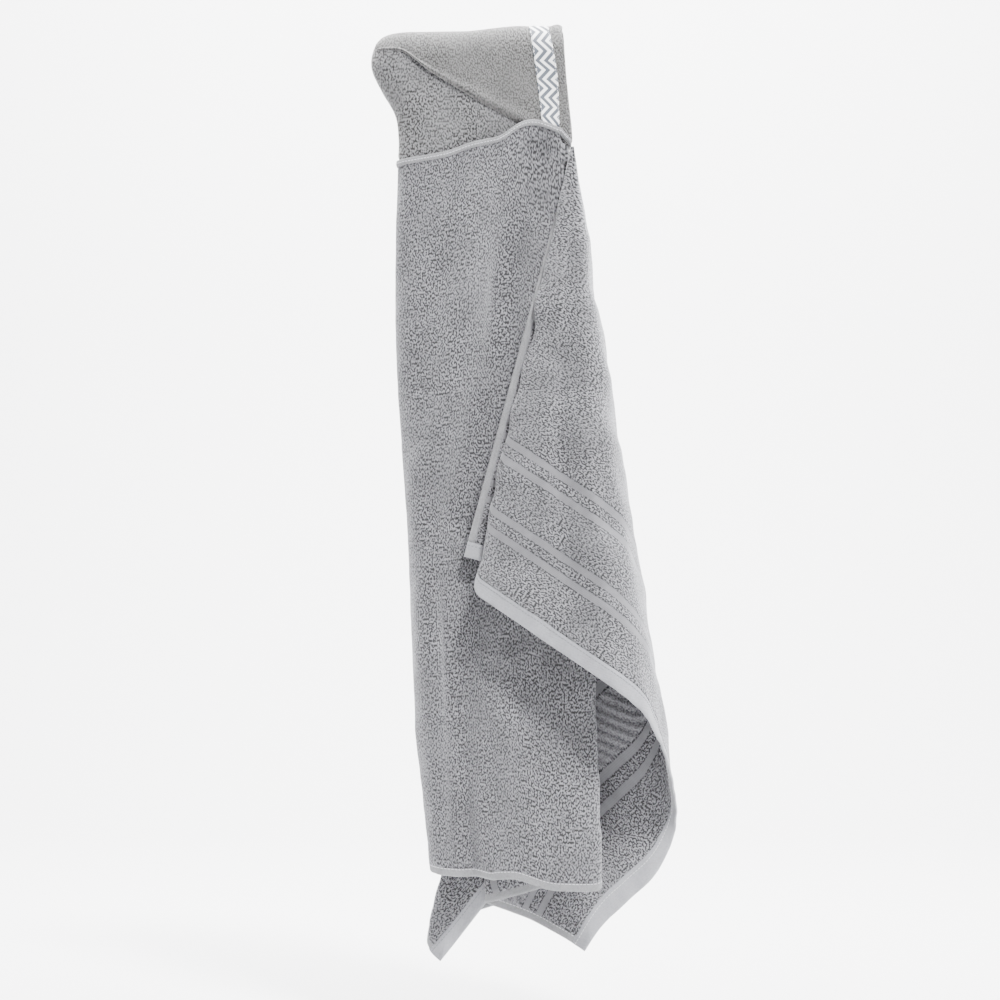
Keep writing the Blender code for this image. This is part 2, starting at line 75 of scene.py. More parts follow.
# The far half hangs further back at the bottom, so that its corner shows below the near half
FAR_CONE = (
    (-11.0, -2.9, -3, 0, 0.985), (-7.0, -2.7, -3, 0, 0.985), (-3.2, -2.6, -3.2, 0, 0.99),
    (-1.8, -2.9, -4.5, 0, 0.99), (-3.2, -3.3, -5.8, 0, 0.99), (-6.5, -3.5, -6.2, 0, 0.99),
    (-8.4, -3.65, -6.5, 0, 0.99), (-9.3, -4.1, -7.5, 0, 0.99), (-8.8, -4.8, -8.6, 0, 1.0),
    (-7.4, -5.3, -8.9, 0, 1.0), (-5.5, -5.7, -9, 0, 1.0),
    (-3.0, -6.2, -9, 0, 1.0), (1.0, -6.3, -9, 0, 1.0), (4.2, -5.9, -9, 0, 1.0),
    (6.3, -4.9, -8.5, 0, 1.0), (7.5, -3.4, -5, 0, 1.0), (7.9, -1.6, 1, 0, 1.0),
    (7.5, -0.2, 8, 0, 0.995), (6.0, 0.45, 12, 0, 0.985), (2.0, 0.5, 12, -1, 0.98),
    (-3.0, 0.4, 12, -2, 0.985), (-8.0, 0.35, 12, -2, 0.998), (-9.7, 0.3, 11.8, -3, 1.0),
    (-10.3, 0.0, 10.5, -4, 0.995), (-9.6, -0.3, 9.2, -5, 0.98), (-5.0, -0.4, 9, -6, 0.98),
    (0.6, -0.5, 8.8, -6, 0.98), (1.5, -0.75, 7.5, -7, 0.985), (0.6, -1.0, 6.2, -8, 0.99),
    (-4.0, -1.05, 5.8, -8, 1.0), (-4.9, -1.35, 4.5, -9, 1.0), (-4.0, -1.6, 3.2, -10, 1.0),
    (0.0, -1.65, 3, -11, 1.0), (1.1, -1.75, 2.7, -12, 1.0), (1.9, -2.05, 1.4, -13, 1.0),
    (1.2, -2.4, 0.2, -13, 1.0), (-1.2, -2.5, 0, -13, 1.0),
)
CONES = {"near": NEAR_CONE, "far": FAR_CONE}
SIDES = {"near": 1, "far": -1}  # the far half is laid out like the near one and turned over in depth
RIPPLE_PHASE = {"near": 0.0, "far": 2.3}
RIPPLE_START = 25.0  # the centre back hangs still, and the ripples grow over this distance from it
# Neck seam, from the back to its front end: across and up
NECK_LINE = (
    (-122, -137), (-110, -136.5), (-73, -130), (-58, -125), (-44, -119.5), (-15, -113),
    (2, -107.5), (18, -106.5), (34, -113),
)
NECK_LIFT, NECK_LIFT_REACH = 7.5, 75.0  # the neck corner is pulled up towards the hood's seam
# Back panel, seen from above at each distance below the neck: across and depth, from the centre back
BACK_SECTIONS = (
    (0, ((-122, 0), (-121, -8), (-112, -16), (-90, -19), (-64, -20), (-38, -21), (-12, -22), (14, -22),
         (40, -22))),
    (180, ((-124, 0), (-123, -13), (-113, -25), (-88, -31), (-62, -35), (-36, -30), (-10, -21), (16, -24),
           (43, -29))),
    (380, ((-112, 0), (-111, -16), (-101, -31), (-80, -37), (-58, -29), (-34, -27), (-10, -36), (14, -40),
           (40, -38))),
    (560, ((-104, 0), (-103, -18), (-94, -33), (-76, -37), (-56, -29), (-32, -37), (-10, -49), (12, -49),
           (40, -46))),
    (711, ((-85, 0), (-87, -18), (-80, -36), (-63, -36), (-46, -26), (-28, -38), (-10, -53), (12, -54),
           (38, -51))),
)
# stretch along the drop, by share of the neck arc
BACK_STRETCH = ((0.0, 1.0), (0.3, 1.02), (0.6, 1.045), (1.0, 1.045))
CONE_BLEND = 0.62  # share of the neck arc beyond which the back panel turns into the cone

# Hood, in profile: the fold, from the neck's back end round the pouch to the top of the face
HOOD_FOLD = (
    (-122, -134), (-121.5, -113), (-125, -88), (-139, -63), (-149, -40), (-146, -20), (-136, -10.5),
    (-118, -7.5), (-100, -7), (-70, -6.5), (-50, -6), (-20, -2.5), (0, -1), (20, -2), (30, -1.5), (38, 0.5),
    (43, -2),
)
# and its open edges, along the neck and up the face
HOOD_OPEN = (
    (-122, -141), (-110, -140.5), (-73, -134), (-58, -129), (-44, -123.5), (-15, -116), (2, -110),
    (18, -107.5), (34, -111), (51, -119), (52.5, -105), (50, -80), (47.5, -55), (45.5, -30), (44.5, -12),
    (43.5, -5), (42.5, -2),
)
HOOD_DEPTH = 17.0
HOOD_ROUND = 26.0  # the distance over which the folded edges round off
PANEL_DIAGONAL = (
    (-146.5, -24), (-133, -24), (-118, -26.5), (-104, -35), (-91, -45.5), (-73, -56.5), (-44, -74.5),
    (-15, -90.5), (6, -102), (22, -110),
)
RIBBON_BACK = ((9, -3), (13, -23), (17, -53), (20.5, -83), (22.5, -100))
RIBBON_FRONT = ((29, -3), (33.5, -23), (38.5, -53), (39.5, -83), (39.5, -102))


def catmull_rom(a, b, c, d, u):
    """The curve from b to c, at shares u of the way, with a and d as its neighbours."""
    curve = (2 * a - 5 * b + 4 * c - d) * u**2 + (3 * b - a - 3 * c + d) * u**3
    return 0.5 * (2 * b + (c - a) * u + curve)


def spline(points, share):
    """Catmull-Rom through the rows of points, at shares 0 to 1 of their count."""
    rows = np.asarray(points, float)
    padded = np.vstack([2 * rows[0] - rows[1], rows, 2 * rows[-1] - rows[-2]])
    position = np.clip(np.asarray(share, float), 0, 1) * (len(rows) - 1)
    i = np.minimum(position.astype(int), len(rows) - 2)
    u = (position - i)[..., None]
    return catmull_rom(padded[i], padded[i + 1], padded[i + 2], padded[i + 3], u)


def by_length(points, share, measure=None):
    """The spline again, at even shares of its length. measure gives the columns whose length counts."""
    fine = np.linspace(0, 1, 60 * len(points))
    dense = spline(points, fine)
    counted = dense if measure is None else measure(dense)
    walked = walked_length(counted)
    return spline(points, np.interp(np.asarray(share, float), walked / walked[-1], fine))


def section_of(rows):
    """The cone's cross-section in degrees, whose length is the angle of the flat cloth."""
    return np.column_stack([rows[:, 0], rows[:, 1] + np.degrees(rows[:, 2] / REFERENCE_RAY)])


def cone_row(table, degrees):
    """The table's columns at an angle of the flat cloth, 90 at the lapel's free edge and 0 below the neck."""
    return by_length(table, 1 - np.asarray(degrees, float) / 90, section_of)


def cone_point(table, degrees, ray):
    """A point of the cone, from its angle in the flat cloth and its distance from the neck corner."""
    row = cone_row(table, degrees)
    across, depth = np.sin(np.radians(row[..., 0])), np.sin(np.radians(row[..., 1]))
    ray = ray * row[..., 4]
    offset = row[..., 3]
    x = NECK_CORNER[0] + offset * np.clip(1 - ray / SPREAD_FADE, 0, 1) ** 1.5 + ray * across
    y = NECK_CORNER[1] + row[..., 2] + ray * depth
    fall = ray * np.sqrt(1 - across**2 - depth**2)
    z = NECK_CORNER[2] - offset * np.clip(1 - ray / SEAM_FADE, 0, 1) - fall
    return np.stack([x, y, z], axis=-1)


def smooth(value):
    value = np.clip(value, 0, 1)
    return value * value * (3 - 2 * value)


def beside_cone(table, along, drop):
    """The cone's first ray carried on smoothly on to the back panel."""
    reach = np.maximum(drop, NECK_FADE / 2)
    first = cone_point(table, np.zeros_like(drop), reach)
    slope = cone_point(table, np.degrees(np.arctan2(1.0, reach)), np.hypot(1.0, reach)) - first
    share = smooth(drop / NECK_FADE)[:, None]
    slope = slope * share + np.array(NECK_SLOPE) * (1 - share)
    return cone_point(table, np.zeros_like(drop), drop) + (along - NECK_ARC)[:, None] * slope


def back_point(table, along, drop):
    """A point of the back panel: along the neck edge from the centre back, and down from it."""
    share = along / NECK_ARC
    drops = [level for level, _ in BACK_SECTIONS]
    sections = np.array([by_length(points, share) for _, points in BACK_SECTIONS])
    position = np.interp(drop, drops, np.linspace(0, 1, len(drops)))
    plan = spread_sections(sections, position)
    height = by_length(NECK_LINE, share)[:, 1] - drop * np.interp(share, *zip(*BACK_STRETCH))
    own = np.column_stack([plan, height])
    pull = smooth((share - CONE_BLEND) / (1 - CONE_BLEND))[:, None]
    return own * (1 - pull) + beside_cone(table, along, drop) * pull


def cloth_point(table, along, drop):
    """A point of one half, from its flat place: along from the centre back, and down from the neck edge."""
    along, drop = np.broadcast_arrays(np.asarray(along, float), np.asarray(drop, float))
    shape, along, drop = along.shape, along.ravel(), drop.ravel()
    out = along - NECK_ARC
    past = np.maximum(out, 0)
    point = cone_point(table, np.degrees(np.arctan2(past, drop)), np.hypot(past, drop))
    inner = out < 0
    if inner.any():
        point[inner] = back_point(table, along[inner], drop[inner])
    point[:, 2] += NECK_LIFT * (1 - smooth(np.hypot(out, drop) / NECK_LIFT_REACH))
    return point.reshape(shape + (3,))


def spread_sections(sections, position):
    """The spline through each point's own column of the sections, at each point's own position."""
    padded = np.concatenate([2 * sections[:1] - sections[1:2], sections, 2 * sections[-1:] - sections[-2:-1]])
    place = np.clip(position, 0, 1) * (len(sections) - 1)
    i = np.minimum(place.astype(int), len(sections) - 2)
    u = (place - i)[:, None]
    k = np.arange(len(position))
    return catmull_rom(padded[i, k], padded[i + 1, k], padded[i + 2, k], padded[i + 3, k], u)


# ---------------------------------------------------------------- the drape

# Undulations of the cloth: height, wavelength, direction and phase, as waves along and down
WAVES = [
    (amp, math.tau / length * math.cos(turn), math.tau / length * math.sin(turn), phase)
    for amp, length, turn, phase in (
        (0.8, 96, 0.15, 0.4), (0.75, 71, -0.25, 2.1), (0.6, 58, 0.35, 4.4), (0.5, 47, -0.1, 1.2),
        (0.5, 130, 1.3, 5.1), (0.35, 84, 1.7, 3.3), (0.3, 34, 0.6, 0.9), (0.24, 29, -0.7, 2.9),
        (0.18, 23, 1.1, 5.7),
    )
]


def ripple(along, drop, seed):
    """Small undulations of the cloth, and the pucker that stitching draws into its hems."""
    total = np.zeros_like(along)
    for amp, ka, kt, phase in WAVES:
        total += amp * np.sin(ka * along + kt * drop + phase + seed)
    total *= smooth(drop / 70.0) * 0.8 + 0.2
    end, low, top = HALF_LENGTH - along, WIDTH - drop, np.where(along > NECK_ARC, drop, 1e3)
    total += 0.45 * np.exp(-end / 14) * np.sin(math.tau * drop / 17 + 1.5 * np.sin(drop / 41) + seed)
    total += 0.35 * np.exp(-low / 10) * np.sin(math.tau * along / 14 + 1.7 * np.sin(along / 37) + seed)
    total += 0.3 * np.exp(-top / 9) * np.sin(math.tau * along / 15 + 1.3 * np.sin(along / 33) + seed)
    neck = np.where(along < NECK_ARC, drop, 1e3)
    gathers = np.sin(math.tau * along / 21 + 2 * np.sin(along / 29))
    total += 0.9 * np.exp(-neck / 26) * (1 - np.exp(-neck / 6)) * gathers
    return total


def unit(vectors):
    return vectors / np.maximum(np.linalg.norm(vectors, axis=-1, keepdims=True), 1e-9)


def walked_length(path):
    """The length walked along a path, at each of its points."""
    return np.concatenate([[0], np.cumsum(np.linalg.norm(np.diff(path, axis=0), axis=1))])


def draped(side, along, drop):
    """Points and outward normals of the towel's middle surface, from places in the flat cloth."""
    table = np.array(CONES[side])
    along, drop = np.broadcast_arrays(np.asarray(along, float), np.asarray(drop, float))

    def at(a, t):
        return cloth_point(table, a, t)

    step = 0.5
    across = at(along + step, drop) - at(along - step, drop)
    down = at(along, drop + step) - at(along, drop - step)
    normal = unit(np.cross(down, across))
    point = at(along, drop)
    centre = np.abs(along) < 1e-6
    normal[centre, 1] = 0
    normal = unit(normal)
    wave = ripple(along, drop, RIPPLE_PHASE[side]) * smooth(along / RIPPLE_START)
    if side == "near":
        wave = wave + creases(point, along, drop)
    point = point + normal * wave[..., None]
    flip = np.array([1, SIDES[side], 1])
    return point * flip, normal * flip


# Creases of the near half's outer panel: points across and up, half width, and height outward
PANEL_CREASES = (
    (((16, -135), (4, -180), (-14, -260), (-32, -360), (-52, -440), (-66, -500)), 21, -13.0),
    (((-34, -170), (-48, -260), (-64, -350), (-82, -440)), 19, 4.0),
    (((-78, -560), (-72, -640), (-69, -740), (-66, -800), (-62, -835)), 10, -8.0),
    (((-24, -600), (-34, -680), (-39, -760), (-33, -820), (-27, -850)), 13, 4.5),
    (((6, -640), (0, -720), (2, -840)), 11, -3.4),
    (((-62, -150), (-70, -215), (-90, -290)), 14, -2.4),
    (((-116, -362), (-96, -366), (-78, -374)), 3.8, -1.6),
    (((-114, -414), (-92, -420), (-70, -416)), 4.2, -1.8),
    (((-72, -628), (-50, -634), (-28, -646)), 4.4, -1.8),
    (((-106, -528), (-80, -540), (-52, -534)), 5.5, -1.5),
    (((-60, -640), (-30, -632), (2, -640)), 10, 1.6),
)
# and of its lapel, towards the viewer
LAPEL_CREASES = (
    (((38, -340), (42, -420), (46, -500), (50, -600)), 10, -3.8),
    (((-6, -330), (-14, -400), (-30, -480)), 8, 1.6),
    (((8, -300), (10, -380), (4, -480), (-6, -545)), 8, -2.2),
    (((66, -420), (74, -500), (84, -580)), 9, 2.4),
)


def crease_field(x, z, creases):
    total = np.zeros_like(x)
    for line, width, height in creases:
        dense = spline(line, np.linspace(0, 1, 12 * len(line)))
        nearest = np.full(x.shape, 1e9)
        for p, q in zip(dense[:-1], dense[1:]):
            run = q - p
            t = np.clip(((x - p[0]) * run[0] + (z - p[1]) * run[1]) / (run @ run), 0, 1)
            nearest = np.minimum(nearest, (x - p[0] - t * run[0]) ** 2 + (z - p[1] - t * run[1]) ** 2)
        total += height * np.exp(-nearest / width**2)
    return total


def creases(point, along, drop):
    """Soft creases of the near half, outward. The lapel shows its inner face, so its creases turn round."""
    turn = np.degrees(np.arctan2(np.maximum(along - NECK_ARC, 0), np.maximum(drop, 1e-6)))
    x, z = point[..., 0], point[..., 2]
    panel = crease_field(x, z, PANEL_CREASES) * smooth((9.0 - turn) / 6.0)
    lapel = crease_field(x, z, LAPEL_CREASES) * smooth((turn - 46.0) / 8.0) * smooth((76.0 - turn) / 5.0)
    return panel - lapel


# ---------------------------------------------------------------- meshes

def add_mesh(name, verts, faces, material, uv=None, outside=None):
    """An object from millimetre vertices. uv is given for each vertex, in metres of flat cloth."""
    mesh = bpy.data.meshes.new(name)
    verts = np.asarray(verts, float) * MM
    faces = np.asarray(faces, np.int32)
    mesh.vertices.add(len(verts))
    mesh.vertices.foreach_set("co", verts.ravel())
    mesh.loops.add(faces.size)
    mesh.loops.foreach_set("vertex_index", faces.ravel())
    mesh.polygons.add(len(faces))
    mesh.polygons.foreach_set("loop_start", np.arange(0, faces.size, faces.shape[1], dtype=np.int32))
    mesh.polygons.foreach_set("use_smooth", np.full(len(faces), True))
    mesh.update(calc_edges=True)
    mesh.validate()
    if uv is not None:
        layer = mesh.uv_layers.new(name="Flat")
        layer.data.foreach_set("uv", np.asarray(uv, float)[faces.ravel()].ravel())
    if outside is not None:
        mesh.attributes.new("outside", "FLOAT", "POINT").data.foreach_set("value", outside)
    mesh.materials.append(material)
    obj = bpy.data.objects.new(name, mesh)
    bpy.context.scene.collection.objects.link(obj)
    return obj


def shell(point, normal, above, below):
    """Vertices and faces of a closed sheet: first the upper face's grid, then the lower face's."""
    rows, cols = point.shape[:2]
    above, below = np.broadcast_to(above, (rows, cols)), np.broadcast_to(below, (rows, cols))
    upper, lower = point + normal * above[..., None], point - normal * below[..., None]
    verts = np.concatenate([upper.reshape(-1, 3), lower.reshape(-1, 3)])
    i, j = np.meshgrid(np.arange(rows - 1), np.arange(cols - 1), indexing="ij")
    a = (i * cols + j).ravel()
    upper = np.column_stack([a, a + cols, a + cols + 1, a + 1])
    top = rows * cols
    lower = upper[:, ::-1] + top
    ring = np.concatenate([
        np.arange(cols), np.arange(2, rows + 1) * cols - 1,
        (rows - 1) * cols + np.arange(cols - 2, -1, -1), np.arange(rows - 2, 0, -1) * cols,
    ])
    after = np.roll(ring, -1)
    rim = np.column_stack([ring, after, after + top, ring + top])
    return verts, np.concatenate([upper, lower, rim])


def facing(point, normal):
    """1 where the faces made by shell() already look outward, and -1 where they must be turned."""
    mid = point.shape[0] // 2, point.shape[1] // 2
    u = point[mid[0] + 1, mid[1]] - point[mid]
    v = point[mid[0], mid[1] + 1] - point[mid]
    return 1 if np.dot(np.cross(u, v), normal[mid]) > 0 else -1


def sheet(name, point, normal, above, below, material, uv):
    """A closed sheet round a grid of points, with "outside" at 1 on the side that the normals point to."""
    verts, faces = shell(point, normal, above, below)
    if facing(point, normal) < 0:
        faces = faces[:, ::-1]
    places = uv.reshape(-1, 2)
    outside = np.repeat([1.0, 0.0], len(places))
    return add_mesh(name, verts, faces, material, np.concatenate([places, places]), outside)


def stitches(name, path, normal, material, length=3.0, gap=0.7, radius=0.42, lift=0.25, sink=0.35):
    """A row of stitches along a path: each a short thread that dips into the cloth at both ends."""
    walked = walked_length(path)
    rings = np.array([0.0, 0.12, 0.5, 0.88, 1.0])
    size = np.array([0.45, 0.95, 1.0, 0.95, 0.45])
    height = np.array([-sink, 0.55 * lift, lift, 0.55 * lift, -sink])
    starts = np.arange(0.5, walked[-1] - length, length + gap)
    where = starts[:, None] + rings[None, :] * length
    centre = np.stack([np.interp(where, walked, path[:, c]) for c in range(3)], axis=-1)
    up = np.stack([np.interp(where, walked, normal[:, c]) for c in range(3)], axis=-1)
    up /= np.linalg.norm(up, axis=-1, keepdims=True)
    side = np.cross(unit(np.gradient(centre, axis=1)), up)
    centre = centre + up * height[None, :, None]
    around = np.arange(6) * math.tau / 6
    circle = np.cos(around)[:, None] * up[:, :, None] + np.sin(around)[:, None] * side[:, :, None]
    verts = centre[:, :, None] + radius * size[None, :, None, None] * circle
    n, r, s = verts.shape[:3]
    base = np.arange(n)[:, None, None] * r * s
    i, k = np.meshgrid(np.arange(r - 1), np.arange(s), indexing="ij")
    a, b = i * s + k, i * s + (k + 1) % s
    quads = np.stack([a, a + s, b + s, b], axis=-1)
    faces = (base[..., None] + quads[None]).reshape(-1, 4)
    caps = []
    last = (r - 1) * s
    for first, order in ((0, (0, 1, 2, 3)), (0, (0, 3, 4, 5)), (last, (3, 2, 1, 0)), (last, (5, 4, 3, 0))):
        caps.append(base.reshape(-1, 1) + first + np.array(order)[None, :])
    faces = np.concatenate([faces] + caps)
    return add_mesh(name, verts.reshape(-1, 3), faces, material)


# ---------------------------------------------------------------- materials

class Nodes:
    """Short hand for building a node tree."""

    def __init__(self, name):
        self.material = bpy.data.materials.new(name)
        self.material.use_nodes = True
        self.tree = self.material.node_tree
        self.shader = self.tree.nodes["Principled BSDF"]

    def link(self, value, socket):
        if hasattr(value, "is_output"):
            self.tree.links.new(value, socket)
        else:
            socket.default_value = value

    def math(self, kind, a, b=None):
        node = self.tree.nodes.new("ShaderNodeMath")
        node.operation = kind
        for value, socket in zip((a, b), node.inputs):
            if value is not None:
                self.link(value, socket)
        return node.outputs[0]

    def add(self, a, b):
        return self.math("ADD", a, b)

    def sub(self, a, b):
        return self.math("SUBTRACT", a, b)

    def mul(self, a, b):
        return self.math("MULTIPLY", a, b)

    def sine(self, value, wavelength):
        """A sine wave of the given wavelength in millimetres."""
        return self.math("SINE", self.mul(value, math.tau / wavelength))

    def smoothstep(self, value, low, high):
        node = self.tree.nodes.new("ShaderNodeMapRange")
        node.interpolation_type = "SMOOTHSTEP"
        self.link(value, node.inputs["Value"])
        node.inputs["From Min"].default_value, node.inputs["From Max"].default_value = low, high
        return node.outputs[0]

    def band(self, value, low, high, soft):
        """1 between low and high."""
        rise = self.smoothstep(value, low - soft, low + soft)
        fall = self.smoothstep(value, high - soft, high + soft)
        return self.sub(rise, fall)

    def vector(self, x, y, z=0.0):
        node = self.tree.nodes.new("ShaderNodeCombineXYZ")
        for value, socket in zip((x, y, z), node.inputs):
            self.link(value, socket)
        return node.outputs[0]

    def flat(self):
        """Millimetres along and down the flat cloth."""
        uv = self.tree.nodes.new("ShaderNodeUVMap")
        uv.uv_map = "Flat"
        split = self.tree.nodes.new("ShaderNodeSeparateXYZ")
        self.tree.links.new(uv.outputs[0], split.inputs[0])
        return self.mul(split.outputs[0], 1000.0), self.mul(split.outputs[1], 1000.0)

    def noise(self, vector, scale, detail=2.0, rough=0.5):
        node = self.tree.nodes.new("ShaderNodeTexNoise")
        self.link(vector, node.inputs["Vector"])
        node.inputs["Scale"].default_value = scale
        node.inputs["Detail"].default_value = detail
        node.inputs["Roughness"].default_value = rough
        return node.outputs["Fac"]

    def attribute(self, name):
        node = self.tree.nodes.new("ShaderNodeAttribute")
        node.attribute_name = name
        return node.outputs["Fac"]

    def mix(self, share, first, second):
        node = self.tree.nodes.new("ShaderNodeMix")
        node.data_type = "RGBA"
        self.link(share, node.inputs[0])
        for value, socket in ((first, node.inputs[6]), (second, node.inputs[7])):
            self.link(value if hasattr(value, "is_output") else (*value, 1.0), socket)
        return node.outputs[2]

    def blend(self, share, first, second):
        node = self.tree.nodes.new("ShaderNodeMix")
        node.data_type = "FLOAT"
        for value, socket in zip((share, first, second), (node.inputs[0], node.inputs[2], node.inputs[3])):
            self.link(value, socket)
        return node.outputs[0]

    def tint(self, color, value):
        """color times a grey value."""
        node = self.tree.nodes.new("ShaderNodeVectorMath")
        node.operation = "SCALE"
        self.link(color if hasattr(color, "is_output") else color, node.inputs[0])
        self.link(value, node.inputs["Scale"])
        return node.outputs[0]

    def bump(self, height, distance, strength=1.0):
        node = self.tree.nodes.new("ShaderNodeBump")
        node.inputs["Strength"].default_value = strength
        node.inputs["Distance"].default_value = distance
        self.link(height, node.inputs["Height"])
        self.tree.links.new(node.outputs[0], self.shader.inputs["Normal"])

    def finish(self, color, roughness, sheen=0.0, sheen_rough=0.5, tint=(1, 1, 1)):
        self.link(color, self.shader.inputs["Base Color"])
        self.shader.inputs["Roughness"].default_value = roughness
        self.shader.inputs["Specular IOR Level"].default_value = 0.2
        self.shader.inputs["Sheen Weight"].default_value = sheen
        self.shader.inputs["Sheen Roughness"].default_value = sheen_rough
        self.shader.inputs["Sheen Tint"].default_value = (*tint, 1)
        return self.material


# The towel's weave, from its short edge: flat bands, and the leaf ribs between the pairs of them
BORDERS = ((59.0, 66.0), (76.0, 83.0), (126.0, 133.0), (143.0, 150.0))
OUTLINE_NEAR, OUTLINE_FAR = 0.1, 1.3  # the sunk line on each side of a band, also darkened in colour as painted shadow
RIBS = (84.5, 124.5)
LEAF = (0.69, -0.72, 10.4, 160.0)  # slant down and along, pitch, and the length of one leaf
LEAF_START = 420.0
LOOP_PITCH, BODY_PITCH, PANEL_PITCH = 1.5, 1.6, 1.4
LOOP_SQUASH = 0.64  # loops are longer down the cloth than across it
TWILL_PITCH = 2.2
DARKEST = 0.12
BUMP_UNIT, PILE_STRENGTH = 0.001, 0.4  # bump heights are in millimetres


def loops(n, x, y, pitch):
    """Terry loops in wandering upright runs, brushed flat in places: height, clumps and slow unevenness."""
    place = n.vector(x, y)
    tall = n.vector(n.mul(x, 1.0 / pitch), n.mul(y, LOOP_SQUASH / pitch))
    height = n.smoothstep(n.noise(tall, 1.0, 0.0, 0.5), 0.3, 0.68)
    clump = n.noise(place, 1.0 / 9.0, 2.0, 0.6)
    brushed = n.smoothstep(n.noise(place, 1.0 / 42.0, 2.0, 0.5), 0.3, 0.7)
    height = n.blend(brushed, n.add(n.mul(height, 0.55), 0.26), height)
    slow = n.noise(place, 1.0 / 30.0, 4.0, 0.6)
    return height, clump, slow


def towel_terry():
    """Terry with flat woven bands near the short edges and leaf ribs between them."""
    n = Nodes("towel_terry_look")
    x, y = n.flat()
    side = n.attribute("outside")
    height, clump, slow = loops(n, x, y, LOOP_PITCH)
    edge = n.sub(HALF_LENGTH, n.math("ABSOLUTE", x))
    wavy = n.add(edge, n.mul(n.sub(n.noise(n.vector(x, y), 0.12, 2.0), 0.5), 1.4))
    bands, sunk_outlines_and_shade = None, None
    for low, high in BORDERS:
        one = n.band(wavy, low, high, 0.5)
        before = n.band(wavy, low - OUTLINE_FAR, low - OUTLINE_NEAR, 0.4)
        outline = n.add(before, n.band(wavy, high + OUTLINE_NEAR, high + OUTLINE_FAR, 0.4))
        bands = one if bands is None else n.add(bands, one)
        sunk_outlines_and_shade = outline if sunk_outlines_and_shade is None else n.add(sunk_outlines_and_shade, outline)
    weave = n.sine(edge, 1.6)
    weave = n.mul(n.add(weave, n.sine(y, 1.3)), 0.5)
    # the leaf ribs lean one way and then the other, on the outside face only
    down, across, pitch, leaf = LEAF
    lean = n.mul(n.math("PINGPONG", n.sub(y, LEAF_START), leaf), down)
    slant = n.add(lean, n.mul(edge, across))
    rib = n.sine(slant, pitch)
    rib_zone = n.mul(n.band(edge, *RIBS, 1.2), side)
    ribbed = n.mul(rib, rib_zone)
    # pile height in millimetres: loops, sunk at the woven bands
    pile = n.add(n.mul(height, 1.25), n.mul(clump, 0.5))
    flat = n.add(n.mul(weave, 0.12), 0.1)
    pile = n.blend(bands, pile, flat)
    pile = n.sub(pile, n.mul(sunk_outlines_and_shade, 0.7))
    pile = n.add(pile, n.mul(ribbed, 2.4))
    n.bump(pile, BUMP_UNIT, PILE_STRENGTH)
    calm = n.sub(1.0, n.mul(rib_zone, 0.6))
    # painted shade and painted light of the pile: the colour follows the loops' height, darker in the pits
    # between the loops and lighter on their tops, less so in the rib zone
    shade = n.mul(n.sub(height, 0.7), 1.75)
    shade = n.add(shade, n.mul(n.sub(clump, 0.5), 0.15))
    shade = n.add(0.9, n.mul(shade, calm))
    shade = n.add(shade, n.mul(n.sub(slow, 0.5), 0.6))
    shade = n.add(shade, n.mul(ribbed, 0.2))
    woven = n.add(0.88, n.mul(weave, 0.08))
    woven = n.add(woven, n.mul(n.sub(clump, 0.5), 0.35))
    shade = n.blend(bands, shade, woven)
    # painted shadow: the sunk lines beside each band are darkened in colour, as shade in their recess
    shade = n.sub(shade, n.mul(sunk_outlines_and_shade, 0.46))
    shade = n.math("MAXIMUM", shade, DARKEST)
    return n.finish(n.tint(TERRY_COLOR, shade), 0.95, SHEEN, 0.55, (0.95, 0.96, 1.0))


def hood_terry(name, color, pitch, low, contrast, bump):
    """Plain terry. low is the painted shade of its pits, and contrast the painted light that the loops' tops
    add.
    """
    n = Nodes(name)
    x, y = n.flat()
    height, clump, slow = loops(n, x, y, pitch)
    pile = n.add(n.mul(height, 1.2), n.mul(clump, 0.6))
    n.bump(pile, BUMP_UNIT * bump, PILE_STRENGTH)
    # painted shade in the pits and painted light on the loops' tops, following the pile's height
    shade = n.add(low, n.mul(height, 1.15 * contrast))
    shade = n.add(shade, n.mul(n.sub(clump, 0.5), 0.35 * contrast))
    shade = n.add(shade, n.mul(n.sub(slow, 0.5), 0.5))
    shade = n.math("MAXIMUM", shade, DARKEST)
    return n.finish(n.tint(color, shade), 0.95, SHEEN, 0.55, (1.0, 0.98, 0.97))


def hem_weave(name, color, rough):
    """Turned hem. rough is 0 for the smooth wide hem and more where the pile shows through."""
    n = Nodes(name)
    x, y = n.flat()
    warp = n.sine(x, 1.1)
    weft = n.sine(y, 0.9)
    twill = n.sine(n.add(x, y), TWILL_PITCH)
    fine = n.noise(n.vector(x, y), 0.45, 4.0, 0.65)
    slow = n.noise(n.vector(x, y), 0.05, 3.0, 0.6)
    height = n.add(n.mul(n.add(warp, weft), 0.08), n.mul(twill, 0.12))
    height = n.add(height, n.mul(fine, 0.5 + rough))
    n.bump(height, BUMP_UNIT, 0.7)
    shade = n.add(0.74 - 0.35 * rough, n.mul(fine, 0.44 + 0.7 * rough))
    shade = n.add(shade, n.mul(n.sub(slow, 0.4), 0.5))
    shade = n.add(shade, n.mul(twill, 0.04))
    return n.finish(n.tint(color, shade), 0.85, 0.2, 0.5)


